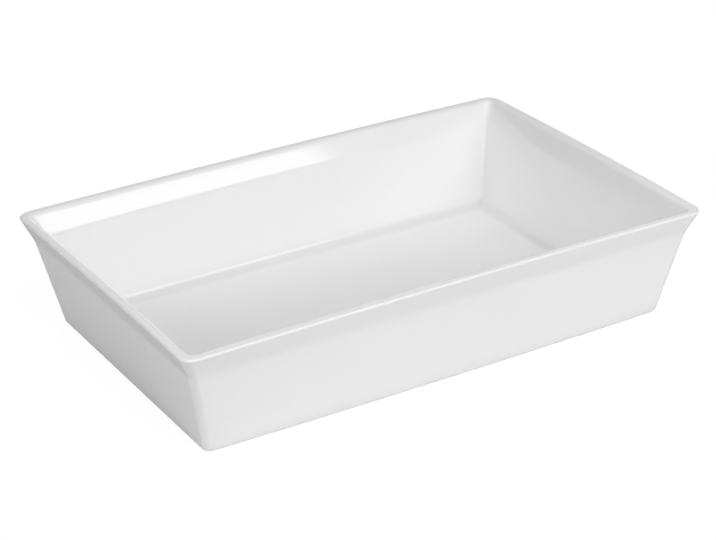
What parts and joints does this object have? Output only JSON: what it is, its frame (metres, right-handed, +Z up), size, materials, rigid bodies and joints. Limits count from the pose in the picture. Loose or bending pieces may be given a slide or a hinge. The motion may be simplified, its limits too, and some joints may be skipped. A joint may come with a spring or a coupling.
{
  "type": "rectangular gratin dish",
  "caption": "Open rectangular oven dish in white glazed porcelain, with slanted walls that flare out above a soft crease to a rounded lip.",
  "frame": {"origin": "middle of the underside, in the plane of the foot ring that the dish stands on", "axes": "+X along the length, +Y across the width, +Z up out of the open top"},
  "size_m": [0.331, 0.214, 0.068],
  "materials": {
    "glazed_porcelain": "gloss clear glaze over white porcelain"
  },
  "bodies": {
    "root": {"dish": "glazed_porcelain"}
  },
  "joints": []
}
